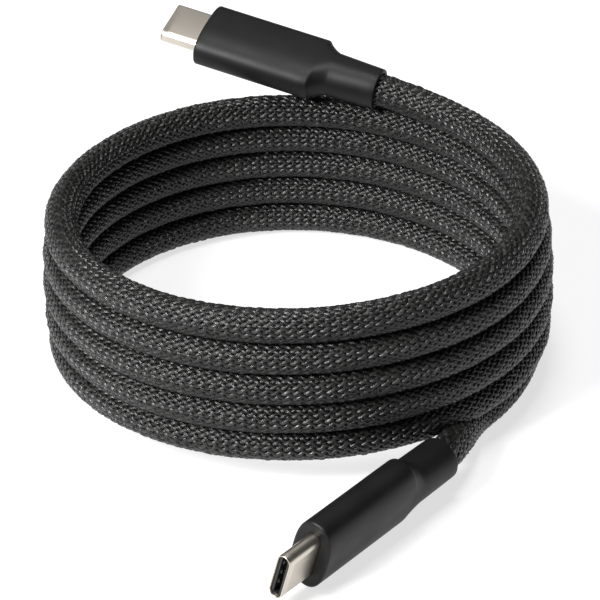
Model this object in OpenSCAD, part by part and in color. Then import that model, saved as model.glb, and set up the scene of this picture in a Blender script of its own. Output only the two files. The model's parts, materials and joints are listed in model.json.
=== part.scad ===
// Braided charging cable with a reversible plug on each end,
// wound in a standing coil of five rows and a bit.
// The origin is on the coil's axis, at the height of its base. +Z is up.

/* [Cord] */
// Diameter over the woven sleeve
cord_d = 5.45; // [4.5:0.05:6.6]
// Thickness of the woven sleeve
sleeve_t = 0.7; // [0.5:0.05:0.8]
// How far one row presses into the next
row_squash = 0.3; // [0:0.05:0.5]
// Radius of the top row, to the middle of the cord
coil_r = 37.1; // [29:0.1:46]
// How much wider each row is than the row above it
row_spread = 0.1; // [0:0.05:0.3]
// Extra radius of the middle rows
coil_bulge = 0.95; // [0:0.05:1.5]
// How far each row stands to the left of the row beneath
coil_lean = 0.17; // [0:0.01:0.3]
// Full rows in the coil, before the part row on top
rows = 5; // [3:1:8]

/* [Cord ends] */
// Azimuth where the lower end leaves the coil, clockwise from the back
low_azimuth = 127; // [110:1:150]
// Azimuth where the upper end meets its plug
top_azimuth = 21.5; // [15:0.5:60]
// Distance from the coil to the lower plug, along the cord
low_reach = 18.7; // [15:0.1:30]
// How far the lower end swings outward on the way to its plug
low_swing = 4.8; // [3.7:0.1:8]
// How far the lower end tucks inside the coil's circle
low_tuck = 1.5; // [0:0.1:2.5]
// How far the upper end tucks inside the coil's circle
top_tuck = 0.35; // [0:0.05:1]
// Part of a turn over which each end tucks in
tuck_turn = 0.25; // [0.1:0.05:0.5]
// Part of a turn where each row starts to climb to the next
climb_start = 0.5; // [0.3:0.05:0.6]
// Part of a turn where the climb ends
climb_end = 0.97; // [0.8:0.01:0.98]
// Gap between the upper plug's neck and the row beneath
top_gap = 0.05; // [0.02:0.01:1]
// Part of a turn over which the upper end lifts
lift_turn = 0.08; // [0.06:0.01:0.12]

/* [Plug poses] */
// Upper plug: turn from the line of the cord
plug_a_turn = 0; // [-6:0.5:6]
// Upper plug: roll about its own axis
plug_a_roll = -18; // [-90:1:90]
// Lower plug: turn from the line of the cord
plug_b_turn = -1.4; // [-6:0.2:6]
// Lower plug: roll about its own axis
plug_b_roll = 76; // [-90:1:90]
// Gap between the lower grip and the surface beneath
floor_gap = 0.05; // [0.02:0.01:0.5]

/* [Plug shell] */
// Width of the metal shell
shell_w = 8.25; // [7.5:0.05:10]
// Thickness of the metal shell
shell_t = 2.4; // [2:0.05:3]
// Wall of the shell
shell_wall = 0.22; // [0.15:0.01:0.3]
// Length of shell outside the grip
shell_out = 6.9; // [6:0.1:9]
// Length of shell inside the grip
shell_in = 3.6; // [3:0.1:6]

/* [Mouth] */
// Set-back of the insulator from the mouth
mouth_recess = 0.35; // [0.1:0.05:1]
// Width of the slot that takes a socket's tongue
slot_w = 6.9; // [6:0.05:7]
// Height of the slot
slot_h = 1; // [0.8:0.05:1.1]
// Depth of the slot from the mouth
slot_depth = 6.2; // [5:0.1:6.4]
// Length of the insulator inside the grip
insulator_in = 0.6; // [0.3:0.1:1]
// Length of the rear contact carrier
carrier_len = 2.3; // [1.5:0.1:3]

/* [Contacts] */
// Contacts in one row
contact_count = 12; // [6:1:12]
// Spacing of the contacts
contact_pitch = 0.5; // [0.45:0.01:0.52]
// Width of one contact
contact_w = 0.25; // [0.15:0.01:0.3]
// Thickness of one contact
contact_t = 0.14; // [0.1:0.01:0.16]
// Set-back of the contact tips from the mouth
contact_recess = 2; // [1.9:0.1:3]
// How far the contacts stand into the slot
contact_proud = 0.08; // [0.02:0.01:0.15]
// Length of the contact tails on the card
contact_tail = 1.4; // [0.8:0.1:2]

/* [Springs and latches] */
// Width of the shielding spring plates
spring_w = 5.2; // [4:0.1:5.6]
// Thickness of the shielding spring plates
spring_t = 0.1; // [0.06:0.01:0.12]
// Length of the shielding spring plates
spring_len = 3.6; // [2.5:0.1:4]
// Fingers on each spring plate
finger_count = 3; // [2:1:4]
// Width of one finger
finger_w = 0.7; // [0.4:0.05:0.8]
// Thickness of the side latches
latch_t = 0.2; // [0.12:0.01:0.22]
// Height of the side latches
latch_h = 0.6; // [0.4:0.05:0.7]
// How far a latch hook stands into the slot
latch_hook = 0.25; // [0.1:0.05:0.3]

/* [Card] */
// Thickness of the card
card_t = 0.8; // [0.6:0.05:0.84]
// Length of the card
card_len = 9.5; // [8:0.1:12]
// Gap from the card's edge to the inner mould's side
card_margin = 0.5; // [0.3:0.05:1]
// Side of the square marker chip
chip_w = 2.4; // [1.5:0.1:3]
// Height of the marker chip
chip_h = 0.6; // [0.4:0.05:0.8]
// Length of the chip resistor
resistor_len = 1; // [0.6:0.1:1.6]

/* [Wires] */
// Diameter of the power and ground wires
power_d = 1.1; // [0.8:0.05:1.3]
// Diameter of the signal wires
signal_d = 0.7; // [0.5:0.05:0.9]
// Spacing of the power and ground wires
power_gap = 2.2; // [1.6:0.1:2.6]
// Spacing of the signal wires
signal_gap = 1.2; // [1:0.05:1.4]
// Length of wire on the card
wire_lap = 2; // [1:0.1:3]
// Bare wire between the card and the cord
wire_bare = 1.2; // [0.6:0.1:2]

/* [Shield can] */
// Wall of the can
can_wall = 0.2; // [0.15:0.01:0.3]
// How much the can is wider than the shell, each side
can_side = 0.6; // [0.5:0.05:1.5]
// How much the can is higher than the shell, each side
can_rise = 1.25; // [1.1:0.05:1.8]
// Radius of the can's long edges
can_edge = 0.9; // [0.5:0.05:1.1]
// Length of the crimped collar
collar_len = 2.6; // [2:0.1:4]
// Thickness of the folded shield braid
braid_t = 0.25; // [0.15:0.01:0.4]
// Gap between the two halves of the can
seam_gap = 0.04; // [0.02:0.01:0.1]

/* [Grip] */
// Wall of the grip beside the can
grip_side = 1.3; // [1.1:0.05:2]
// Wall of the grip above and below the can
grip_skin = 0.8; // [0.7:0.01:1.5]
// Front wall of the grip around the shell
grip_front = 1.2; // [1:0.1:2]
// Length of the grip's full section
grip_len = 21; // [18:0.2:26]
// How fully the grip's oval section fills its rectangle, 2 for an ellipse
grip_fullness = 2.6; // [2.6:0.1:5]
// Rounding of the grip's front edge
grip_edge = 0.4; // [0.2:0.05:0.9]
// Length of the shoulder behind the grip
shoulder_len = 2.6; // [2:0.1:6]
// Length of the round neck
neck_len = 8.3; // [6:0.1:14]
// Wall of the neck at its end
neck_wall = 0.75; // [0.6:0.01:1.4]
// How much thicker the neck's wall is at the sides of its root
neck_taper = 0.5; // [0:0.05:0.8]

/* [Fits] */
// Gap around a piece held in another
fit_gap = 0.02; // [0.01:0.01:0.04]

/* [Hidden] */
$fn = 48;

// ---- the cord's path ----
row_pitch = cord_d - row_squash;
neck_d = cord_d + 2 * neck_wall;
// Lift of the upper end, so that the plug's neck clears the row beneath
top_lift = neck_d / 2 + cord_d / 2 - row_pitch + top_gap;
turns = rows + (low_azimuth - top_azimuth) / 360;
// Turns of the upper tube, counted back from the upper plug
upper_turns = turns - (rows - 1) - climb_start;
// The tube of the lower end starts this part of a turn up the coil
lower_turns = 0.15;

function smooth(u) = let (c = min(1, max(0, u))) c * c * (3 - 2 * c);

// s counts turns up from the lower end of the coil, 0 to turns
function azimuth(s) = low_azimuth - 360 * s;
function level(s) =
    floor(s) + smooth((s - floor(s) - climb_start) / (climb_end - climb_start));
function path_r(s) =
    coil_r + row_spread * (turns - s) + coil_bulge * sin(180 * s / turns)
    - low_tuck * smooth(1 - s / tuck_turn)
    - top_tuck * smooth(1 - (turns - s) / tuck_turn);
function path_z(s) =
    cord_d / 2 + row_pitch * level(s)
    + top_lift * pow(max(0, 1 - (turns - s) / lift_turn), 2);
function path(s) = [
    path_r(s) * sin(azimuth(s)) + coil_lean * (turns / 2 - s),
    path_r(s) * cos(azimuth(s)),
    path_z(s)
];

// Headings are measured anticlockwise from +X
low_heading = atan2(path(0)[1] - path(0.004)[1], path(0)[0] - path(0.004)[0]);
top_heading = 180 - top_azimuth;
// The upper plug carries on up the slope of the lifted end
plug_a_tilt = atan(2 * top_lift / (lift_turn * 2 * PI * coil_r));
plug_a_yaw = top_heading + plug_a_turn;
plug_b_yaw = low_heading + plug_b_turn;

// ---- sizes inside the plug, along X from the grip's front face ----
shell_in_w = shell_w - 2 * shell_wall;
shell_in_t = shell_t - 2 * shell_wall;
insulator_w = shell_in_w - 2 * fit_gap;
insulator_t = shell_in_t - 2 * fit_gap;
insulator_front = shell_out - mouth_recess;
slot_end = shell_out - slot_depth;
contact_z = slot_h / 2 - contact_proud;
contact_front = shell_out - contact_recess;
spring_front = shell_out - 0.9;
finger_front = spring_front - 0.2;
finger_len = 0.5;
latch_y = slot_w / 2 + fit_gap;
latch_front = shell_out - 2;
latch_bar = 0.5;
carrier_back = -insulator_in - fit_gap - carrier_len;
card_front = -shell_in - 0.3;
card_back = card_front - card_len;
jacket_d = cord_d - 2 * sleeve_t;
collar_d = jacket_d + 2 * (braid_t + can_wall);
can_w = shell_w + 2 * can_side;
can_t = max(shell_t + 2 * can_rise, collar_d);
can_front = -grip_front;
can_back = card_back - 0.7;
cord_end = card_back - wire_bare;
collar_back = can_back - collar_len;
mould_w = can_w - 2 * can_wall - 2 * fit_gap;
mould_t = can_t - 2 * can_wall - 2 * fit_gap;
mould_front = card_front + 0.15;
mould_back = can_back + can_wall + fit_gap;
card_w = mould_w - 2 * card_margin;
power_z = card_t / 2 + power_d / 2 + fit_gap;
signal_z = card_t / 2 + signal_d / 2 + fit_gap;
grip_w = can_w + 2 * grip_side;
grip_t = can_t + 2 * grip_skin;
neck_root_d = neck_d + 2 * neck_taper;
shoulder_back = -grip_len - shoulder_len;
neck_back = shoulder_back - neck_len;

// ---- where each plug lies ----
// Half of the grip's height when it is rolled by an angle
function rolled_half(roll) =
    let (power = grip_fullness / (grip_fullness - 1))
    pow(pow(grip_w / 2 * abs(sin(roll)), power) + pow(grip_t / 2 * abs(cos(roll)), power), 1 / power);
neck_a = path(turns);
plug_b_rise = rolled_half(plug_b_roll) + floor_gap - cord_d / 2;
// The lower end from the coil, u = 0, to its plug, u = 1
function lower_end(u) =
    path(0)
    + low_reach * u * [cos(low_heading), sin(low_heading), 0]
    + low_swing * smooth(u) * [-sin(low_heading), cos(low_heading), 0]
    + [0, 0, plug_b_rise * smooth(u)];
neck_b = lower_end(1);

function along(start, yaw, tilt, len) =
    start + len * [cos(tilt) * cos(yaw), cos(tilt) * sin(yaw), sin(tilt)];
face_a = along(neck_a, plug_a_yaw, plug_a_tilt, -neck_back);
face_b = along(neck_b, plug_b_yaw, 0, -neck_back);

// ---- points that the two tubes follow ----
upper_steps = 26;
lower_steps = 5;
sleeve_end = collar_back - 0.3;
bore_len = sleeve_end - neck_back;
upper_route = concat(
    [for (i = [0 : upper_steps - 1])
        path(turns - upper_turns * (1 - i / upper_steps))],
    [for (x = [0, 0.5, 1]) along(neck_a, plug_a_yaw, plug_a_tilt, bore_len * x)]
);
lower_route = concat(
    [for (i = [0 : lower_steps - 1])
        path(lower_turns * (1 - i / lower_steps))],
    [for (u = [0, 0.25, 0.5, 0.75]) lower_end(u)],
    [for (x = [0, 0.5, 1]) along(neck_b, plug_b_yaw, 0, bore_len * x)]
);

// ---- general shapes ----

// A tube swept along a route; each ring stands square to the route
function unit(v) = v / norm(v);
function heading(route, i) =
    i == 0 ? unit(route[1] - route[0]) :
    i == len(route) - 1 ? unit(route[i] - route[i - 1]) :
    unit(unit(route[i + 1] - route[i]) + unit(route[i] - route[i - 1]));
function ring_point(centre, dir, a, r) =
    let (side = unit(cross(dir, [0, 0, 1])))
    let (top = cross(side, dir))
    centre + r * (cos(a) * side + sin(a) * top);

module tube(route, d, sides) {
    n = len(route);
    points = [
        for (i = [0 : n - 1])
        for (k = [0 : sides - 1])
            ring_point(route[i], heading(route, i), 360 * k / sides, d / 2)
    ];
    walls = [
        for (i = [0 : n - 2])
        for (k = [0 : sides - 1])
        let (m = (k + 1) % sides)
        let (a = i * sides + k)
        let (b = i * sides + m)
        let (c = (i + 1) * sides + m)
        let (e = (i + 1) * sides + k)
        for (face = [[a, b, c], [a, c, e]])
            face
    ];
    first = [for (k = [0 : sides - 1]) sides - 1 - k];
    last = [for (k = [0 : sides - 1]) (n - 1) * sides + k];
    polyhedron(points, concat(walls, [first, last]), convexity = 10);
}

// An oval with straight long sides, w by t
module oval(w, t) {
    square([w - t, t], center = true);
    for (side = [-1, 1])
        translate([side * (w - t) / 2, 0])
            circle(d = t);
}

// A rectangle with rounded corners, w by t
module rounded(w, t, r) {
    square([w - 2 * r, t], center = true);
    square([w, t - 2 * r], center = true);
    for (y = [-1, 1])
        for (z = [-1, 1])
            translate([y * (w / 2 - r), z * (t / 2 - r)])
                circle(r = r);
}

// Stands a flat shape across the plug, from x = back to x = front
module span(back, front) {
    translate([back, 0, 0])
        rotate([90, 0, 90])
            linear_extrude(front - back)
                children();
}

// A block from x = back to x = front, w wide, from z = low to z = high
module block(back, front, w, low, high, y = 0) {
    translate([back, y - w / 2, low])
        cube([front - back, w, high - low]);
}

// A round bar along the plug
module bar(back, front, d, y = 0, z = 0) {
    translate([back, y, z])
        rotate([0, 90, 0])
            cylinder(d = d, h = front - back);
}

module place(face, yaw, tilt, roll) {
    translate(face)
        rotate([0, 0, yaw])
            rotate([0, -tilt, 0])
                rotate([roll, 0, 0])
                    children();
}

module at_a() {
    place(face_a, plug_a_yaw, plug_a_tilt, plug_a_roll)
        children();
}

module at_b() {
    place(face_b, plug_b_yaw, 0, plug_b_roll)
        children();
}

// ---- the cord ----

module coil() {
    color("#2b2b2a")
        rotate_extrude($fn = 96)
            union() {
                for (i = [0 : rows - 1])
                    translate([path_r(i + 0.25), cord_d / 2 + i * row_pitch])
                        circle(d = cord_d, $fn = 24);
                for (i = [0 : rows - 2])
                    translate([path_r(i + 0.25) - cord_d * 0.4,
                               cord_d / 2 + i * row_pitch])
                        square([cord_d * 0.8, row_pitch]);
            }
}

module cord_upper() {
    color("#2b2b2a")
        tube(upper_route, cord_d, 12);
}

module cord_lower() {
    color("#2b2b2a")
        tube(lower_route, cord_d, 12);
}

// ---- one plug, in its own frame ----

module shell() {
    color("#b9b3a6")
        span(-shell_in, shell_out)
            difference() {
                oval(shell_w, shell_t);
                oval(shell_in_w, shell_in_t);
            }
}

// Cuts for one row of contacts, or the contacts themselves when grow is 0
module contact_row(grow, low, high, back, front) {
    first = -(contact_count - 1) / 2 * contact_pitch;
    for (i = [0 : contact_count - 1])
        block(back, front, contact_w + 2 * grow, low - grow, high + grow,
              first + i * contact_pitch);
}

module finger_row(grow, low) {
    step = (spring_w - finger_w) / max(1, finger_count - 1) * 0.85;
    for (i = [0 : finger_count - 1])
        block(finger_front - finger_len - grow, finger_front + grow,
              finger_w + 2 * grow, low, insulator_t / 2 + 1,
              (i - (finger_count - 1) / 2) * step);
}

module latch_arms(grow, back, front) {
    for (side = [-1, 1])
        block(back, front, latch_t + 2 * grow, -latch_h / 2 - grow,
              latch_h / 2 + grow, side * (latch_y + latch_t / 2));
}

module front_insulator() {
    spring_low = insulator_t / 2 - spring_t - fit_gap;
    color("#1c1c1e")
        difference() {
            span(-insulator_in, insulator_front)
                oval(insulator_w, insulator_t);
            block(slot_end, insulator_front + 1, slot_w, -slot_h / 2, slot_h / 2);
            latch_arms(fit_gap, -insulator_in - 1, latch_front + 0.3);
            for (flip = [0, 180])
                rotate([flip, 0, 0]) {
                    contact_row(fit_gap, contact_z, contact_z + contact_t,
                                -insulator_in - 1, contact_front + fit_gap);
                    block(spring_front - spring_len - fit_gap,
                          spring_front + fit_gap, spring_w + 2 * fit_gap,
                          spring_low, insulator_t);
                    finger_row(fit_gap, 0);
                }
        }
}

module rear_carrier() {
    color("#34322c")
        difference() {
            span(carrier_back, -insulator_in - fit_gap)
                oval(insulator_w, insulator_t);
            latch_arms(fit_gap, carrier_back - 1, 0);
            block(carrier_back - 1, carrier_back + latch_bar + fit_gap,
                  2 * latch_y + 0.1, -latch_h / 4 - fit_gap, latch_h / 4 + fit_gap);
            for (flip = [0, 180])
                rotate([flip, 0, 0])
                    contact_row(fit_gap, contact_z, contact_z + contact_t,
                                carrier_back - 1, 0);
        }
}

// One row of twelve separate contact strips with a raised tip
module contacts() {
    tail_end = card_front - contact_tail;
    color("#c9a24a") {
        contact_row(0, contact_z, contact_z + contact_t, tail_end, contact_front);
    }
}

module contacts_upper() {
    contacts();
}

module contacts_lower() {
    rotate([180, 0, 0])
        contacts();
}

// Both latch arms and the bar that joins them behind the slot
module side_latches() {
    color("#a8a6a0")
        union() {
            latch_arms(0, carrier_back, latch_front);
            for (side = [-1, 1])
                block(latch_front - 0.6, latch_front, latch_hook + latch_t,
                      -latch_h / 2, latch_h / 2,
                      side * (latch_y + (latch_t - latch_hook) / 2));
            block(carrier_back, carrier_back + latch_bar,
                  2 * latch_y + 0.1, -latch_h / 4, latch_h / 4);
        }
}

module shield_spring() {
    top = shell_in_t / 2 - 0.01;
    color("#d8d4c8")
        union() {
            block(spring_front - spring_len, spring_front, spring_w,
                  top - spring_t, top);
            intersection() {
                finger_row(0, slot_h / 2 - contact_proud);
                block(0, shell_out, spring_w, 0, top);
            }
        }
}

module shield_spring_lower() {
    rotate([180, 0, 0])
        shield_spring();
}

module card() {
    color("#1f5a3a")
        block(card_back, card_front, card_w, -card_t / 2, card_t / 2);
}

module marker_chip() {
    color("#222226")
        block(card_front - 2.4 - chip_w, card_front - 2.4, chip_w,
              card_t / 2, card_t / 2 + chip_h);
}

module resistor() {
    color("#3a3a40")
        block(card_front - 4.4, card_front - 3.8, resistor_len,
              -card_t / 2 - 0.35, -card_t / 2);
}

module power_wire() {
    color("#b02a22")
        bar(cord_end, card_back + wire_lap, power_d, power_gap / 2, power_z);
}

module ground_wire() {
    color("#202022")
        bar(cord_end, card_back + wire_lap, power_d, -power_gap / 2, power_z);
}

module signal_wires() {
    color("#e0dccc")
        for (i = [-1 : 1])
            bar(cord_end, card_back + wire_lap, signal_d,
                i * signal_gap, -signal_z);
}

// Room for everything that the inner mould is cast around
module mould_cores(chip_room) {
    block(card_back - fit_gap, card_front + 1, card_w + 2 * fit_gap,
          -card_t / 2 - fit_gap, card_t / 2 + fit_gap);
    for (flip = [0, 180])
        rotate([flip, 0, 0])
            contact_row(fit_gap, contact_z, contact_z + contact_t,
                        card_front - contact_tail - fit_gap, 0);
    if (chip_room)
        block(card_front - 2.4 - chip_w - fit_gap, card_front - 2.4 + fit_gap,
              chip_w + 2 * fit_gap, 0, card_t / 2 + chip_h + fit_gap);
    block(card_front - 4.4 - fit_gap, card_front - 3.8 + fit_gap,
          resistor_len + 2 * fit_gap, -card_t / 2 - 0.35 - fit_gap, 0);
    for (side = [-1, 1])
        bar(cord_end, card_back + wire_lap + fit_gap, power_d + 2 * fit_gap,
            side * power_gap / 2, power_z);
    for (i = [-1 : 1])
        bar(cord_end, card_back + wire_lap + fit_gap, signal_d + 2 * fit_gap,
            i * signal_gap, -signal_z);
}

module inner_mould(chip_room) {
    color("#d9d4c4")
        difference() {
            span(mould_back, mould_front)
                rounded(mould_w, mould_t, can_edge - can_wall);
            mould_cores(chip_room);
        }
}

// The whole can with its collar, before it is split in two
module can_body() {
    difference() {
        union() {
            span(can_back, can_front)
                rounded(can_w, can_t, can_edge);
            bar(collar_back, can_back + can_wall, collar_d);
        }
        span(can_back + can_wall, can_front - can_wall)
            rounded(can_w - 2 * can_wall, can_t - 2 * can_wall,
                    can_edge - can_wall);
        span(can_front - 2 * can_wall, can_front + 1)
            oval(shell_w + 2 * fit_gap, shell_t + 2 * fit_gap);
        bar(collar_back - 1, can_back + 2 * can_wall,
            collar_d - 2 * can_wall);
    }
}

module can_upper() {
    color("#c4c2bc")
        intersection() {
            can_body();
            block(collar_back - 1, 0, can_w + 2, seam_gap / 2, can_t);
        }
}

module can_lower() {
    color("#c4c2bc")
        intersection() {
            can_body();
            block(collar_back - 1, 0, can_w + 2, -can_t, -seam_gap / 2);
        }
}

module folded_braid() {
    color("#9a958c")
        difference() {
            bar(collar_back, cord_end, collar_d - 2 * can_wall - 2 * fit_gap);
            bar(collar_back - 1, cord_end + 1, jacket_d + 2 * fit_gap);
        }
}

// The jacket, bare of its woven sleeve, inside the collar
module jacket_end() {
    color("#3c3c3c")
        bar(sleeve_end, cord_end, jacket_d);
}

function oval_arm(v) = sign(v) * pow(abs(v), 2 / grip_fullness);

// A soft oval, w wide and t thick, fuller than an ellipse
module soft_oval(w, t) {
    polygon([for (a = [0 : 7.5 : 352.5]) [w / 2 * oval_arm(cos(a)), t / 2 * oval_arm(sin(a))]]);
}

module grip_slice(x, thick, shrink) {
    span(x - thick, x)
        soft_oval(grip_w - 2 * shrink, grip_t - 2 * shrink);
}

// The section halfway down the shoulder
module shoulder_slice() {
    span(-grip_len - shoulder_len * 0.45, -grip_len - shoulder_len * 0.4)
        soft_oval(neck_root_d + 0.45 * (grip_w - neck_root_d),
                  grip_t + 0.6 * (neck_d - grip_t));
}

// The neck's root: as wide as the taper asks, but no thicker than the neck's end
module neck_root() {
    span(shoulder_back - 0.1, shoulder_back)
        scale([1, neck_d / neck_root_d])
            circle(d = neck_root_d);
}

module grip_outside() {
    hull() {
        grip_slice(0, 0.05, grip_edge);
        grip_slice(-grip_edge * 0.3, 0.05, grip_edge * 0.3);
        grip_slice(-grip_edge, grip_len - grip_edge, 0);
    }
    hull() {
        grip_slice(-grip_len + 0.1, 0.1, 0);
        shoulder_slice();
    }
    hull() {
        shoulder_slice();
        neck_root();
    }
    hull() {
        neck_root();
        bar(neck_back + 0.3, neck_back + 0.4, neck_d);
        bar(neck_back, neck_back + 0.1, neck_d - 0.5);
    }
}

module grip() {
    color("#2c2c2e")
        difference() {
            grip_outside();
            span(can_back - fit_gap, can_front + fit_gap)
                rounded(can_w + 2 * fit_gap, can_t + 2 * fit_gap, can_edge);
            span(can_front - 1, 1)
                oval(shell_w + 2 * fit_gap, shell_t + 2 * fit_gap);
            bar(collar_back - fit_gap, can_back, collar_d + 2 * fit_gap);
            bar(sleeve_end, collar_back, jacket_d + 2 * fit_gap);
            bar(neck_back - 1, sleeve_end + fit_gap, cord_d + 2 * fit_gap);
        }
}

// ---- each node ----

coil();
cord_upper();
cord_lower();

at_a() shell();  // shell_a
at_a() front_insulator();  // front_insulator_a
at_a() rear_carrier();  // rear_carrier_a
at_a() contacts_upper();  // contacts_upper_a
at_a() contacts_lower();  // contacts_lower_a
at_a() side_latches();  // side_latches_a
at_a() shield_spring();  // shield_spring_upper_a
at_a() shield_spring_lower();  // shield_spring_lower_a
at_a() card();  // card_a
at_a() marker_chip();  // marker_chip_a
at_a() resistor();  // resistor_a
at_a() jacket_end();  // jacket_end_a
at_a() power_wire();  // power_wire_a
at_a() ground_wire();  // ground_wire_a
at_a() signal_wires();  // signal_wires_a
at_a() inner_mould(true);  // inner_mould_a
at_a() can_upper();  // can_upper_a
at_a() can_lower();  // can_lower_a
at_a() folded_braid();  // folded_braid_a
at_a() grip();  // grip_a

at_b() shell();  // shell_b
at_b() front_insulator();  // front_insulator_b
at_b() rear_carrier();  // rear_carrier_b
at_b() contacts_upper();  // contacts_upper_b
at_b() contacts_lower();  // contacts_lower_b
at_b() side_latches();  // side_latches_b
at_b() shield_spring();  // shield_spring_upper_b
at_b() shield_spring_lower();  // shield_spring_lower_b
at_b() card();  // card_b
at_b() resistor();  // resistor_b
at_b() jacket_end();  // jacket_end_b
at_b() power_wire();  // power_wire_b
at_b() ground_wire();  // ground_wire_b
at_b() signal_wires();  // signal_wires_b
at_b() inner_mould(false);  // inner_mould_b
at_b() can_upper();  // can_upper_b
at_b() can_lower();  // can_lower_b
at_b() folded_braid();  // folded_braid_b
at_b() grip();  // grip_b
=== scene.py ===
import json
import math

import bpy
import numpy as np
from mathutils import Matrix, Vector


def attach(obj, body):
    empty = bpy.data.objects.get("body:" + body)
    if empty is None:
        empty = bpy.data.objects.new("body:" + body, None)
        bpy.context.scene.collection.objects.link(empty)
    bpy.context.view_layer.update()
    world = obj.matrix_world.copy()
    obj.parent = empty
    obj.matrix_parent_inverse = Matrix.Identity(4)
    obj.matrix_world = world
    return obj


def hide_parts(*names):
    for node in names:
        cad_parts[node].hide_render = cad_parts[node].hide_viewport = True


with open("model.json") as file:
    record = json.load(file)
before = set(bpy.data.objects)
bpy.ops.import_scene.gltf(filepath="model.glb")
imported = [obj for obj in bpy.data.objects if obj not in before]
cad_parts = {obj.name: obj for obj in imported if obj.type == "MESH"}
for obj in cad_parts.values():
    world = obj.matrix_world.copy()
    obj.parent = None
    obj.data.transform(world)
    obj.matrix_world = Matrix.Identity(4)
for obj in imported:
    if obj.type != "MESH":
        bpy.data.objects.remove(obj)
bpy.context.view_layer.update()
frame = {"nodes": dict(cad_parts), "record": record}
nodes = frame["nodes"]
mounts = {m["name"]: m for m in frame["record"]["mounts"]}

MM = 0.001

# ---- sizes of the cord and the coil, as in the source ----
CORD_D = 5.45 * MM
ROW_PITCH = CORD_D - 0.3 * MM
COIL_R = 37.1 * MM          # to the cord's centre line
ROW_SPREAD = 0.1 * MM       # added to the radius for each turn down
COIL_BULGE = 0.95 * MM      # added to the radius at mid-height
COIL_LEAN = 0.17 * MM       # sideways shift for each turn
ROWS = 5
LOW_AZIMUTH = 127.0         # where the cord leaves the coil, clockwise from the back
TOP_AZIMUTH = 21.5
LOW_REACH = 18.7 * MM       # free cord between the coil and the lower plug
LOW_SWING = 4.8 * MM
LOW_TUCK = 1.5 * MM         # how far the first and the last turn draw inward
TOP_TUCK = 0.35 * MM
TUCK_TURN = 0.25
CLIMB_START, CLIMB_END = 0.5, 0.97    # the part of a turn in which the cord climbs a row
TOP_LIFT = 1.1 * MM
LIFT_TURN = 0.08
TURNS = ROWS + (LOW_AZIMUTH - TOP_AZIMUTH) / 360

# ---- sizes of the plug ----
GRIP_W, GRIP_T = 12.05 * MM, 6.55 * MM
GRIP_FULLNESS = 2.6
GRIP_LEN = 21.0 * MM
GRIP_EDGE = 0.4 * MM
SHOULDER_LEN = 2.6 * MM
NECK_LEN = 8.3 * MM
NECK_D, NECK_ROOT_D = 6.95 * MM, 7.95 * MM
SHELL_W, SHELL_T = 8.25 * MM, 2.4 * MM
SHELL_WALL = 0.22 * MM
SHELL_OUT, SHELL_IN = 6.9 * MM, 3.6 * MM
SLEEVE_INSET = 3.0 * MM     # how far the drawn sleeve goes into the neck
ROLLS = {"a": -18.0, "b": 76.0}
NECK_BACK = GRIP_LEN + SHOULDER_LEN + NECK_LEN

# ---- the woven sleeve ----
STRANDS = 16
BRAID_ANGLE = math.radians(34)
BRAID_ROW = math.pi * CORD_D / math.tan(BRAID_ANGLE) / STRANDS
CROSSING = BRAID_ROW / 2 / math.cos(BRAID_ANGLE)
YARN_W = 0.78 * BRAID_ROW * math.sin(BRAID_ANGLE)
YARN_H = 0.28 * MM          # height of a strand's rounded back
YARN_WAVE = 0.24 * MM       # rise and fall of a strand over and under the others
FLOAT_SPAN = 0.8            # half length of a float, in pairs of crossings
PLAIN_SHADE, LIGHT_SHADE, FALLING_SHADE = 0.35, 1.0, 0.3
CORE_R = CORD_D / 2 - YARN_H - 1.15 * YARN_WAVE
SLEEVE_PIECES = 10

random = np.random.default_rng(11)


# ---- small helpers ----

def smooth(u):
    u = np.clip(u, 0, 1)
    return u * u * (3 - 2 * u)


def new_mesh(name, points, faces, material):
    """A smooth mesh piece from arrays of points and equal-sized faces."""
    points = np.asarray(points, np.float32)
    faces = np.asarray(faces, np.int32)
    count, corners = faces.shape
    mesh = bpy.data.meshes.new(name)
    mesh.vertices.add(len(points))
    mesh.vertices.foreach_set("co", points.ravel())
    mesh.loops.add(count * corners)
    mesh.loops.foreach_set("vertex_index", faces.ravel())
    mesh.polygons.add(count)
    mesh.polygons.foreach_set("loop_start", np.arange(0, count * corners, corners, dtype=np.int32))
    mesh.update(calc_edges=True)
    mesh.validate()
    mesh.polygons.foreach_set("use_smooth", np.ones(len(mesh.polygons), bool))
    mesh.materials.append(material)
    piece = bpy.data.objects.new(name, mesh)
    bpy.context.scene.collection.objects.link(piece)
    return piece


def grid_faces(rows, cols, closed):
    """Quads over a grid of rows by cols points; closed joins the last column to the first."""
    r = np.arange(rows - 1)[:, None]
    c = np.arange(cols if closed else cols - 1)[None, :]
    d = (c + 1) % cols
    quads = [r * cols + c, r * cols + d, (r + 1) * cols + d, (r + 1) * cols + c]
    return np.stack([np.broadcast_to(q, (rows - 1, c.shape[1])) for q in quads], -1).reshape(-1, 4)


# ---- the cord's path, from the upper plug to the lower one ----

def coil_path(s):
    """Points s turns up from the coil's lower end."""
    azimuth = np.radians(LOW_AZIMUTH - 360 * s)
    part = s - np.floor(s)
    level = np.floor(s) + smooth((part - CLIMB_START) / (CLIMB_END - CLIMB_START))
    radius = (COIL_R + ROW_SPREAD * (TURNS - s) + COIL_BULGE * np.sin(math.pi * s / TURNS)
              - LOW_TUCK * smooth(1 - s / TUCK_TURN) - TOP_TUCK * smooth(1 - (TURNS - s) / TUCK_TURN))
    lift = TOP_LIFT * np.maximum(0, 1 - (TURNS - s) / LIFT_TURN) ** 2
    return np.stack([
        radius * np.sin(azimuth) + COIL_LEAN * (TURNS / 2 - s),
        radius * np.cos(azimuth),
        CORD_D / 2 + ROW_PITCH * level + lift,
    ], -1)


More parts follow.
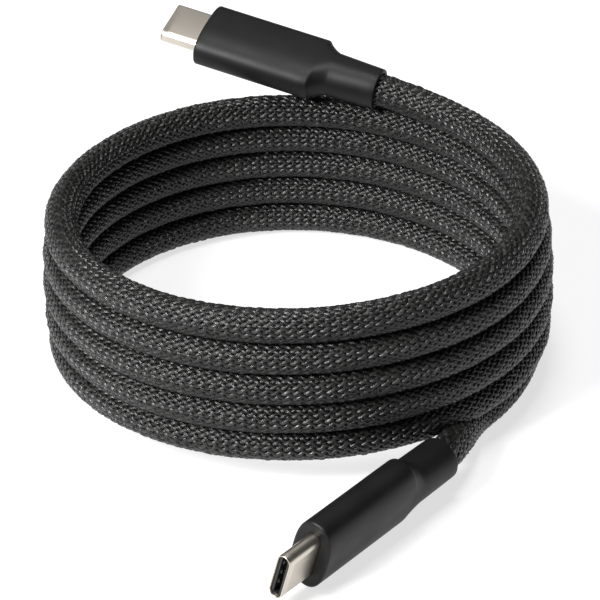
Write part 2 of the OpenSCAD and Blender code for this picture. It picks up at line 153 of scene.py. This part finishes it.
def plug_frame(side):
    """The plug's own frame: X forward out of the mouth, origin on the grip's front face."""
    mount = mounts["plug_" + side]
    forward = Vector(mount["axis"])
    width = Vector((0, 0, 1)).cross(forward).normalized()
    thick = forward.cross(width)
    turn = math.radians(ROLLS[side])
    axes = Matrix((
        forward,
        math.cos(turn) * width + math.sin(turn) * thick,
        math.cos(turn) * thick - math.sin(turn) * width,
    )).transposed()
    face = Vector(mount["pos_m"]) - SHELL_OUT * forward
    return Matrix.Translation(face) @ axes.to_4x4()


def cord_route():
    """Points from inside the upper plug's neck, round the coil, to inside the lower one's."""
    upper = coil_path(np.linspace(TURNS, 0, 2600))
    ahead = upper[-1] - upper[-2]
    ahead[2] = 0
    ahead /= np.linalg.norm(ahead)
    outward = np.array([-ahead[1], ahead[0], 0])
    neck_b = np.array(plug_frame("b") @ Vector((-NECK_BACK, 0, 0)))
    rise = neck_b[2] - upper[-1][2]
    u = np.linspace(0, 1, 80)[1:, None]
    lower = (upper[-1] + LOW_REACH * u * ahead + LOW_SWING * smooth(u) * outward
             + rise * smooth(u) * np.array([0, 0, 1]))
    inset_a = np.array(plug_frame("a") @ Vector((SLEEVE_INSET - NECK_BACK, 0, 0)))
    inset_b = np.array(plug_frame("b") @ Vector((SLEEVE_INSET - NECK_BACK, 0, 0)))
    return np.concatenate([[inset_a], upper, lower, [inset_b]])


class Route:
    """The cord's centre line with a side and a top direction at every length along it."""

    def __init__(self, points):
        self.points = points
        steps = np.linalg.norm(np.diff(points, axis=0), axis=1)
        self.at = np.concatenate([[0], np.cumsum(steps)])
        self.length = self.at[-1]
        ahead = np.gradient(points, self.at, axis=0)
        ahead /= np.linalg.norm(ahead, axis=1)[:, None]
        side = np.cross(ahead, [0, 0, 1])
        self.side = side / np.linalg.norm(side, axis=1)[:, None]
        self.top = np.cross(self.side, ahead)

    def place(self, along, angle, radius):
        """Points at a length along the cord, an angle round it and a radius."""
        def sample(values):
            return np.stack([np.interp(along, self.at, values[:, k]) for k in range(3)], -1)
        across = (np.cos(angle)[..., None] * sample(self.side)
                  + np.sin(angle)[..., None] * sample(self.top))
        return sample(self.points) + radius[..., None] * across


# ---- materials ----

class Nodes:
    """A short way to write a procedural material."""

    def __init__(self, name):
        self.material = bpy.data.materials.new(name)
        self.material.use_nodes = True
        self.tree = self.material.node_tree
        self.shader = self.tree.nodes["Principled BSDF"]

    def add(self, kind, **values):
        node = self.tree.nodes.new("ShaderNode" + kind)
        for key, value in values.items():
            if hasattr(node, key):
                setattr(node, key, value)
            else:
                node.inputs[key.replace("_", " ")].default_value = value
        return node

    def link(self, source, target):
        self.tree.links.new(source, target)
        return target

    def set(self, **values):
        for key, value in values.items():
            self.shader.inputs[key.replace("_", " ")].default_value = value

    def noise(self, scale, detail=3.0, coordinates="Object"):
        where = self.add("TexCoord")
        noise = self.add("TexNoise", Scale=scale, Detail=detail)
        self.link(where.outputs[coordinates], noise.inputs["Vector"])
        return noise.outputs["Fac"]

    def ramp(self, value, low, high):
        """Maps 0..1 to low..high, for a socket that takes one number."""
        node = self.add("MapRange")
        self.link(value, node.inputs["Value"])
        node.inputs["From Min"].default_value = 0.3
        node.inputs["From Max"].default_value = 0.7
        node.inputs["To Min"].default_value = low
        node.inputs["To Max"].default_value = high
        return node.outputs["Result"]

    def mix(self, value, low, high):
        """A colour between low and high."""
        node = self.add("Mix", data_type="RGBA")
        self.link(value, node.inputs["Factor"])
        for socket, colour in ((node.inputs[6], low), (node.inputs[7], high)):
            if hasattr(colour, "node"):
                self.link(colour, socket)
            else:
                socket.default_value = (*colour, 1)
        return node.outputs[2]

    def maths(self, operation, a, b=None):
        node = self.add("Math", operation=operation)
        for socket, value in zip(node.inputs, (a, b)):
            if value is None:
                continue
            if hasattr(value, "node"):
                self.link(value, socket)
            else:
                socket.default_value = value
        return node.outputs[0]

    def bump(self, height, strength, distance):
        node = self.add("Bump", Strength=strength, Distance=distance)
        self.link(height, node.inputs["Height"])
        self.link(node.outputs["Normal"], self.shader.inputs["Normal"])


def yarn_material():
    """Glossy nylon yarn: light and dark strands, fine filaments along each, with painted shade between
    the filaments and painted highlight on their crests.
    """
    m = Nodes("woven_nylon")
    strand = m.add("Attribute", attribute_name="strand")
    colour = m.add("Attribute", attribute_name="shade")
    split = m.add("SeparateXYZ")
    m.link(strand.outputs["Vector"], split.inputs[0])
    across, chance = split.outputs[1], split.outputs[2]
    filament = m.maths("SINE", m.maths("MULTIPLY", across, 22.0))
    wander = m.noise(2600.0, 2.0)
    filament_relief_and_shade = m.maths("ADD", m.maths("MULTIPLY", filament, 0.35), wander)
    light = m.mix(chance, (0.011, 0.0108, 0.0104), (0.030, 0.0296, 0.0284))
    dark = m.mix(chance, (0.001, 0.001, 0.001), (0.002, 0.002, 0.002))
    base = m.mix(colour.outputs["Fac"], dark, light)
    # painted shade and highlight: the filament relief darkens the colour in the grooves between
    # filaments and lightens it on their crests; the noise in it adds random tone
    filament_painted_shade = m.add("HueSaturation")
    m.link(base, filament_painted_shade.inputs["Color"])
    m.link(m.ramp(filament_relief_and_shade, 0.75, 1.2), filament_painted_shade.inputs["Value"])
    m.link(filament_painted_shade.outputs["Color"], m.shader.inputs["Base Color"])
    m.link(m.ramp(wander, 0.23, 0.32), m.shader.inputs["Roughness"])
    m.set(IOR=1.44, Anisotropic=0.45)
    run = m.add("Attribute", attribute_name="run")
    m.link(run.outputs["Vector"], m.shader.inputs["Tangent"])
    m.bump(filament_relief_and_shade, 0.35, 0.00006)
    return m.material


def core_material():
    """The dull dark ground seen between the strands."""
    m = Nodes("sleeve_ground")
    base = m.mix(m.noise(3000.0), (0.002, 0.002, 0.002), (0.004, 0.004, 0.004))
    m.link(base, m.shader.inputs["Base Color"])
    m.set(Roughness=0.9)
    m.shader.inputs["Specular IOR Level"].default_value = 0.1
    m.bump(m.noise(5000.0), 0.3, 0.00005)
    return m.material


def grip_material():
    """Soft-touch moulding: fine spark-eroded grain and a faint satin sheen."""
    m = Nodes("soft_moulding")
    grain = m.noise(9000.0, 4.0)
    cloud = m.noise(160.0, 3.0)
    m.link(m.mix(cloud, (0.004, 0.004, 0.0045), (0.007, 0.007, 0.0075)), m.shader.inputs["Base Color"])
    m.link(m.ramp(cloud, 0.42, 0.52), m.shader.inputs["Roughness"])
    m.set(IOR=1.3)
    m.bump(grain, 0.25, 0.00004)
    return m.material


def metal_material(name, low, high, rough, brushed):
    """Plated sheet metal with faint drawing lines and slight uneven polish."""
    m = Nodes(name)
    where = m.add("TexCoord")
    stretch = m.add("Mapping")
    stretch.inputs["Scale"].default_value = (1.0, 1.0, brushed)
    m.link(where.outputs["Object"], stretch.inputs["Vector"])
    lines = m.add("TexNoise", Scale=4000.0, Detail=3.0)
    m.link(stretch.outputs["Vector"], lines.inputs["Vector"])
    polish = m.noise(300.0)
    m.link(m.mix(polish, low, high), m.shader.inputs["Base Color"])
    m.link(m.ramp(lines.outputs["Fac"], rough - 0.03, rough + 0.03), m.shader.inputs["Roughness"])
    m.set(Metallic=1.0)
    m.bump(lines.outputs["Fac"], 0.03, 0.00001)
    return m.material


def plastic_material(name, low, high, rough):
    """Moulded or extruded plastic with slight mottling and a fine grain."""
    m = Nodes(name)
    m.link(m.mix(m.noise(900.0), low, high), m.shader.inputs["Base Color"])
    m.link(m.ramp(m.noise(2500.0), rough - 0.06, rough + 0.06), m.shader.inputs["Roughness"])
    m.bump(m.noise(6000.0), 0.12, 0.00003)
    return m.material


yarn = yarn_material()
ground = core_material()
moulding = grip_material()
nickel = metal_material("nickel_plate", (0.56, 0.515, 0.45), (0.63, 0.58, 0.51), 0.34, 6.0)
spring_steel = metal_material("spring_steel", (0.62, 0.61, 0.58), (0.74, 0.73, 0.70), 0.22, 3.0)
can_steel = metal_material("tinned_steel", (0.50, 0.49, 0.46), (0.62, 0.61, 0.58), 0.34, 3.0)
gold = metal_material("gold_plate", (0.72, 0.50, 0.18), (0.86, 0.64, 0.28), 0.25, 2.0)
wire_mesh = metal_material("shield_wire", (0.30, 0.28, 0.26), (0.55, 0.52, 0.48), 0.42, 8.0)
black_plastic = plastic_material("black_plastic", (0.006, 0.006, 0.007), (0.012, 0.012, 0.013), 0.5)
board = plastic_material("green_lacquer", (0.012, 0.09, 0.04), (0.02, 0.13, 0.06), 0.3)
resin = plastic_material("cast_resin", (0.55, 0.50, 0.40), (0.66, 0.61, 0.50), 0.55)
red_wire = plastic_material("red_insulation", (0.36, 0.02, 0.015), (0.45, 0.03, 0.02), 0.4)
white_wire = plastic_material("white_insulation", (0.62, 0.60, 0.55), (0.72, 0.70, 0.65), 0.4)
jacket = plastic_material("jacket", (0.02, 0.02, 0.02), (0.03, 0.03, 0.03), 0.6)

FINISHES = {
    "nickel_shell": nickel, "black_insulator": black_plastic, "gold_contacts": gold,
    "spring_steel": spring_steel, "circuit_card": board, "chip_black": black_plastic,
    "wire_red": red_wire, "wire_black": black_plastic, "wire_white": white_wire,
    "cord_jacket": jacket, "inner_resin": resin, "can_steel": can_steel,
    "shield_braid": wire_mesh, "grip_rubber": moulding, "woven_sleeve": yarn,
}


# ---- the cord ----

def braid_piece(name, route, first, last):
    """The visible floats of both strand families between two rows of the weave."""
    row, column = np.meshgrid(np.arange(first, last), np.arange(2 * STRANDS), indexing="ij")
    row, column = row.ravel(), column.ravel()
    rising = column % 2
    lean = np.where(rising == 1, 1.0, -1.0)[:, None]
    centre = ((row + 0.5 * rising + 0.5) * BRAID_ROW)[:, None]
    angle = (column * math.pi / STRANDS)[:, None]

    # every other rising strand is light
    strand = np.where(rising == 1, row - (column - 1) // 2, row + column // 2)
    shade = np.where(rising == 0, FALLING_SHADE, np.where(strand % 2 == 0, LIGHT_SHADE, PLAIN_SHADE))
    chance = random.random(len(row))
    wide = (1 + 0.06 * random.standard_normal(len(row)))[:, None]
    high = (1 + 0.12 * random.standard_normal(len(row)))[:, None]

    # one float: a domed patch, t along the strand and v across it
    t = np.linspace(-FLOAT_SPAN, FLOAT_SPAN, 6) * 2 * CROSSING
    v = np.array([-1.0, -0.62, 0.0, 0.62, 1.0])
    tt, vv = np.meshgrid(t, v, indexing="ij")
    tt, vv = tt.ravel()[None, :], vv.ravel()[None, :]
    cos, sin = math.cos(BRAID_ANGLE), math.sin(BRAID_ANGLE)
    across = vv * YARN_W / 2 * wide
    along = np.clip(centre + tt * cos - lean * across * sin, 0, route.length)
    around = angle + (lean * tt * sin + across * cos) / (CORD_D / 2)
    wave = YARN_WAVE * np.cos(math.pi * tt / (2 * CROSSING))
    dome = YARN_H * np.sqrt(1 - 0.96 * vv ** 2) * high
    radius = CORD_D / 2 - YARN_H - YARN_WAVE + wave + dome
    points = route.place(along, around, radius)

    # the strand's own direction, for the sheen along it
    step = 0.05 * MM
    ahead = route.place(along + step * cos, around + lean * step * sin / (CORD_D / 2), radius) - points
    ahead /= np.linalg.norm(ahead, axis=-1)[..., None]

    patch = grid_faces(len(t), len(v), False)
    each = tt.shape[1]
    faces = (np.arange(len(row))[:, None, None] * each + patch[None]).reshape(-1, 4)
    piece = new_mesh(name, points.reshape(-1, 3), faces, yarn)
    mesh = piece.data

    def attribute(label, kind, key, values):
        layer = mesh.attributes.new(label, kind, "POINT")
        layer.data.foreach_set(key, values.astype(np.float32).ravel())

    place = np.stack(np.broadcast_arrays(tt / (2 * CROSSING), vv, chance[:, None]), -1)
    attribute("strand", "FLOAT_VECTOR", "vector", place)
    attribute("run", "FLOAT_VECTOR", "vector", ahead)
    attribute("shade", "FLOAT", "value", np.repeat(shade, each))

    span = (last - first + 1) * BRAID_ROW
    flat = np.stack([(along - first * BRAID_ROW) / span, (around / (2 * math.pi)) % 1.0], -1)
    corners = np.zeros(len(mesh.loops), np.int32)
    mesh.loops.foreach_get("vertex_index", corners)
    unwrap = mesh.uv_layers.new(name="OFBake")
    unwrap.uv.foreach_set("vector", flat.reshape(-1, 2)[corners].astype(np.float32).ravel())
    return piece


def build_cord():
    """The dark core along the whole route and the woven sleeve over it."""
    route = Route(cord_route())
    count = 420
    along = np.linspace(0, route.length, count)
    centre = np.stack([np.interp(along, route.at, route.points[:, k]) for k in range(3)], -1)
    curve = bpy.data.curves.new("cord_ground", "CURVE")
    curve.dimensions = "3D"
    spline = curve.splines.new("POLY")
    spline.points.add(count - 1)
    spline.points.foreach_set("co", np.concatenate([centre, np.ones((count, 1))], 1).ravel())
    curve.bevel_depth = CORE_R
    curve.bevel_resolution = 6
    curve.use_fill_caps = True
    curve.materials.append(ground)
    core = bpy.data.objects.new("cord_ground", curve)
    bpy.context.scene.collection.objects.link(core)
    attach(core, "root")
    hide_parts("coil", "cord_upper", "cord_lower")

    total = int(route.length / BRAID_ROW)
    ends = np.linspace(0, total, SLEEVE_PIECES + 1).astype(int)
    sleeves = []
    for k, (first, last) in enumerate(zip(ends[:-1], ends[1:])):
        sleeve = braid_piece(f"sleeve_{k + 1:02d}", route, first, last)
        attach(sleeve, "root")
        sleeves.append(sleeve)
    return core, route, sleeves


# ---- the plugs ----

def rounded_section(w, t, r, count=96):
    """Points round a rectangle with rounded corners, evenly spread by angle of travel."""
    r = min(r, w / 2, t / 2)
    quarter = count // 4
    points = []
    for k in range(4):
        turn = np.radians(90 * k + np.linspace(0, 90, quarter, endpoint=False))
        cy = (w / 2 - r) * (1 if k in (0, 3) else -1)
        cz = (t / 2 - r) * (1 if k in (0, 1) else -1)
        points.append(np.stack([cy + r * np.cos(turn), cz + r * np.sin(turn)], -1))
    return np.concatenate(points)


def soft_oval(w, t, fullness=GRIP_FULLNESS, count=96):
    """Points round an oval; a fullness of 2 is an ellipse, more is fuller."""
    turn = np.linspace(0, 2 * math.pi, count, endpoint=False)
    arms = [np.sign(v) * np.abs(v) ** (2 / fullness) for v in (np.cos(turn), np.sin(turn))]
    return np.stack([w / 2 * arms[0], t / 2 * arms[1]], -1)


def round_section(w, t):
    """Points round an ellipse, or a circle if w and t agree."""
    return soft_oval(w, t, fullness=2)


def loft(name, stations, material, to_world):
    """A skin through sections given as (x, section points)."""
    rings = np.array([np.column_stack([np.full(len(s), x), s]) for x, s in stations])
    rows, cols = rings.shape[:2]
    points = rings.reshape(-1, 3)
    world = np.array(to_world)
    points = points @ world[:3, :3].T + world[:3, 3]
    return new_mesh(name, points, grid_faces(rows, cols, True)[:, ::-1], material)


def grip_sections():
    """From the hole for the shell, over the grip and its shoulder, to the hole for the cord."""
    def body(x, inset):
        return (x, soft_oval(GRIP_W - 2 * inset, GRIP_T - 2 * inset))
    def hole(x, grow):
        return (x, rounded_section(SHELL_W + grow, SHELL_T + grow, SHELL_T))
    out = [hole(-1.2 * MM, 0.06 * MM), hole(-0.08 * MM, 0.06 * MM), hole(0.0, 0.3 * MM)]
    flat = body(0.0, GRIP_EDGE)[1]
    out.append((0.0, flat))
    for turn in np.radians(np.linspace(8, 90, 8)):
        out.append(body(-GRIP_EDGE * (1 - math.cos(turn)), GRIP_EDGE * (1 - math.sin(turn))))
    for x in np.linspace(-2 * MM, -GRIP_LEN + 0.6 * MM, 14):
        out.append(body(x, 0.0))
    start = -GRIP_LEN + 0.5 * MM
    full = body(0.0, 0.0)[1]
    root = round_section(NECK_ROOT_D, NECK_D)
    for u in np.linspace(0, 1, 20)[1:]:
        ease = (1 - (1 - u) ** 1.5) * float(smooth(0.3 + 3 * u))
        out.append((start - (SHOULDER_LEN + 0.5 * MM) * u, full * (1 - ease) + root * ease))
    back = -NECK_BACK
    for u in np.linspace(0, 1, 8)[1:-1]:
        wide = NECK_ROOT_D + (NECK_D - NECK_ROOT_D) * u
        out.append((-GRIP_LEN - SHOULDER_LEN + (back + 0.3 * MM + GRIP_LEN + SHOULDER_LEN) * u,
                    round_section(wide, NECK_D)))
    for turn in np.radians(np.linspace(0, 90, 5)):
        d = NECK_D - 0.5 * MM * (1 - math.cos(turn))
        out.append((back + 0.25 * MM * (1 - math.sin(turn)), round_section(d, d)))
    bore = CORD_D + 0.1 * MM
    out.append((back + 0.02 * MM, round_section(bore + 0.2 * MM, bore + 0.2 * MM)))
    out.append((back + 0.2 * MM, round_section(bore, bore)))
    out.append((back + 2.5 * MM, round_section(bore, bore)))
    return out


def shell_sections():
    """Outside from the grip to the mouth, round the drawn rim and back down the inside."""
    def oval(grow):
        w, t = SHELL_W + 2 * grow, SHELL_T + 2 * grow
        return rounded_section(w, t, t / 2)
    out = [(x, oval(0.0)) for x in np.linspace(-SHELL_IN, SHELL_OUT - 0.35 * MM, 12)]
    half = SHELL_WALL / 2
    for turn in np.radians(np.linspace(-60, 90, 8)):
        out.append((SHELL_OUT - half + half * math.sin(turn), oval(-half + half * math.cos(turn))))
    for turn in np.radians(np.linspace(75, 0, 6)):
        out.append((SHELL_OUT - half + half * math.sin(turn), oval(-half - half * math.cos(turn))))
    out += [(x, oval(-SHELL_WALL)) for x in np.linspace(SHELL_OUT - 0.4 * MM, -SHELL_IN, 8)]
    out.append(out[0])
    return out


def build_plug(side):
    """The grip and the shell of one plug, in place of their CAD nodes."""
    to_world = plug_frame(side)
    grip = loft("moulded_grip_" + side, grip_sections(), moulding, to_world)
    shell = loft("plated_shell_" + side, shell_sections(), nickel, to_world)
    for piece, node, slot in ((grip, "grip_", "grip_rubber"), (shell, "shell_", "nickel_shell")):
        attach(piece, "root")
        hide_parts(node + side)
    return [grip, shell]


def finish_cad_nodes():
    """Gives every CAD node that still shows its own finish."""
    slots = {s["node"]: s["material_slot"] for s in frame["record"]["subparts"]}
    for name, node in nodes.items():
        node.data.materials.clear()
        node.data.materials.append(FINISHES[slots[name]])


# ---- the studio ----

FOCAL_LENGTH = 182.1
CAMERA_TILT = 31.5
CAMERA_ROLL = 1.27
CAMERA_DISTANCE = 489.1 * MM
AIM = Vector((0.0, 0.0, 13.73 * MM))


def add_camera():
    """Looks at the coil from the front, a little above, with a long lens."""
    data = bpy.data.cameras.new("camera")
    data.lens = FOCAL_LENGTH
    data.sensor_width = 36.0
    data.shift_x = 0.0031
    data.shift_y = -0.0426
    data.clip_start = 0.01
    camera = bpy.data.objects.new("camera", data)
    tilt = math.radians(CAMERA_TILT)
    back = Vector((0, -math.cos(tilt), math.sin(tilt)))
    turn = back.to_track_quat("Z", "Y").to_matrix().to_4x4()
    roll = Matrix.Rotation(math.radians(CAMERA_ROLL), 4, "Z")
    camera.matrix_world = Matrix.Translation(AIM + CAMERA_DISTANCE * back) @ turn @ roll
    bpy.context.scene.collection.objects.link(camera)
    bpy.context.scene.camera = camera


def add_softbox(name, azimuth, elevation, distance, size, power):
    """A soft panel aimed at the coil. Azimuth is clockwise from the back, seen from above."""
    data = bpy.data.lights.new(name, "AREA")
    data.shape = "RECTANGLE"
    data.size, data.size_y = size
    data.energy = power
    light = bpy.data.objects.new(name, data)
    turn, rise = math.radians(azimuth), math.radians(elevation)
    out = Vector((math.sin(turn) * math.cos(rise), math.cos(turn) * math.cos(rise), math.sin(rise)))
    light.matrix_world = (Matrix.Translation(AIM + distance * out)
                          @ out.to_track_quat("Z", "Y").to_matrix().to_4x4())
    bpy.context.scene.collection.objects.link(light)


def add_floor():
    """A plain pale floor that is bright enough to read as white."""
    half = 2.5
    mesh = bpy.data.meshes.new("floor")
    corners = [(-half, -half, 0), (half, -half, 0), (half, half, 0), (-half, half, 0)]
    mesh.from_pydata(corners, [], [(0, 1, 2, 3)])
    m = Nodes("pale_floor")
    m.link(m.mix(m.noise(4.0), (0.34, 0.34, 0.34), (0.36, 0.36, 0.36)), m.shader.inputs["Base Color"])
    m.set(Roughness=0.9)
    m.shader.inputs["Specular IOR Level"].default_value = 0.0
    m.shader.inputs["Emission Color"].default_value = (1, 1, 1, 1)
    m.shader.inputs["Emission Strength"].default_value = 0.7
    mesh.materials.append(m.material)
    floor = bpy.data.objects.new("floor", mesh)
    bpy.context.scene.collection.objects.link(floor)


def add_studio():
    """Camera, floor and lights: one key from the front left, one overhead, a weak one behind."""
    add_camera()
    add_floor()
    world = bpy.data.worlds.new("studio")
    world.use_nodes = True
    world.node_tree.nodes["Background"].inputs["Color"].default_value = (1, 1, 1, 1)
    world.node_tree.nodes["Background"].inputs["Strength"].default_value = 0.05
    bpy.context.scene.world = world
    add_softbox("front_left", 232, 38, 0.9, (0.3, 0.3), 15.0)
    add_softbox("overhead", 215, 84, 0.9, (0.25, 0.25), 5.0)
    add_softbox("back_panel", 0, 42, 1.2, (1.2, 0.6), 1.3)


bpy.context.scene.view_settings.view_transform = "Standard"
add_studio()
core, route, sleeves = build_cord()
plug_a = build_plug("a")
plug_b = build_plug("b")
finish_cad_nodes()
